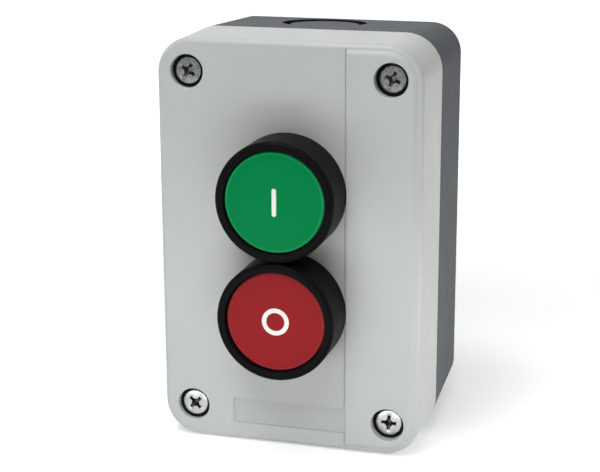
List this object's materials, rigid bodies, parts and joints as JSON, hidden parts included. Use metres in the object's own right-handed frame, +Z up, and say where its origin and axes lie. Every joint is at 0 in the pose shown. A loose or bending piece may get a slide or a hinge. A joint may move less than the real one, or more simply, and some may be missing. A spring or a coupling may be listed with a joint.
{
  "type": "pushbutton control station",
  "caption": "Wall-mounted control station of moulded plastic with a green and a red push button over sprung contact blocks.",
  "frame": {"origin": "middle of the flat back that lies against the wall", "axes": "+Z up along the box's height, +Y into the wall, so the buttons face -Y, and +X to the right seen from the front"},
  "size_m": [0.069, 0.0653, 0.106],
  "materials": {
    "base_plastic": "fine texture",
    "cover_plastic": "fine texture",
    "black_plastic": "semi-gloss",
    "green_plastic": "semi-gloss",
    "red_plastic": "semi-gloss",
    "white_plastic": "satin",
    "grey_plastic": "satin",
    "rubber": "matt",
    "zinc_steel": "zinc plated",
    "spring_steel": "bright",
    "brass": "turned",
    "contact_alloy": "silver-tipped copper alloy"
  },
  "bodies": {
    "enclosure": {"base": "base_plastic", "cover": "cover_plastic", "cover_gasket": "rubber", "cover_screws": "zinc_steel", "screw_inserts": "brass", "start_bezel": "black_plastic", "start_return_spring": "spring_steel", "start_panel_seal": "rubber", "start_wiper_seal": "rubber", "start_nut": "black_plastic", "start_contact_carrier": "grey_plastic", "start_contact_housing": "black_plastic", "start_contact_lid": "black_plastic", "start_plunger_spring": "spring_steel", "start_bridge_spring": "spring_steel", "start_fixed_contacts": "contact_alloy", "start_terminal_screws": "zinc_steel", "start_terminal_clamps": "zinc_steel", "stop_bezel": "black_plastic", "stop_return_spring": "spring_steel", "stop_panel_seal": "rubber", "stop_wiper_seal": "rubber", "stop_nut": "black_plastic", "stop_contact_carrier": "grey_plastic", "stop_contact_housing": "black_plastic", "stop_contact_lid": "black_plastic", "stop_plunger_spring": "spring_steel", "stop_bridge_spring": "spring_steel", "stop_fixed_contacts": "contact_alloy", "stop_terminal_screws": "zinc_steel", "stop_terminal_clamps": "zinc_steel"},
    "start_button": {"start_cap": "green_plastic", "start_pusher": "white_plastic", "start_clip": "spring_steel"},
    "start_plunger": {"start_contact_plunger": "green_plastic"},
    "start_bridge": {"start_contact_bridge": "contact_alloy"},
    "stop_button": {"stop_cap": "red_plastic", "stop_pusher": "white_plastic", "stop_clip": "spring_steel"},
    "stop_plunger": {"stop_contact_plunger": "red_plastic"},
    "stop_bridge": {"stop_contact_bridge": "contact_alloy"}
  },
  "joints": [
    {"name": "start_press", "type": "slide", "parent": "enclosure", "child": "start_button", "axis": [0, 1, 0], "range_m": [0, 0.0043], "stiffness_N_per_m": 700, "springref_m": -0.005, "deforming": ["start_return_spring", "start_plunger_spring", "start_bridge_spring"]},
    {"name": "start_plunger_slide", "type": "slide", "parent": "enclosure", "child": "start_plunger", "axis": [0, 1, 0], "range_m": [0, 0.0043]},
    {"name": "start_bridge_slide", "type": "slide", "parent": "enclosure", "child": "start_bridge", "axis": [0, 1, 0], "range_m": [0, 0.0026]},
    {"name": "stop_press", "type": "slide", "parent": "enclosure", "child": "stop_button", "axis": [0, 1, 0], "range_m": [0, 0.0043], "stiffness_N_per_m": 700, "springref_m": -0.005, "deforming": ["stop_return_spring", "stop_plunger_spring", "stop_bridge_spring"]},
    {"name": "stop_plunger_slide", "type": "slide", "parent": "enclosure", "child": "stop_plunger", "axis": [0, 1, 0], "range_m": [0, 0.0043]},
    {"name": "stop_bridge_slide", "type": "slide", "parent": "enclosure", "child": "stop_bridge", "axis": [0, 1, 0], "range_m": [0, 0.0028]}
  ],
  "couplings": [
    {"joint": "start_plunger_slide", "follows": "start_press", "ratio": 1},
    {"joint": "start_bridge_slide", "follows": "start_press", "ratio": 0.6},
    {"joint": "stop_plunger_slide", "follows": "stop_press", "ratio": 1},
    {"joint": "stop_bridge_slide", "follows": "stop_press", "ratio": 0.65}
  ]
}
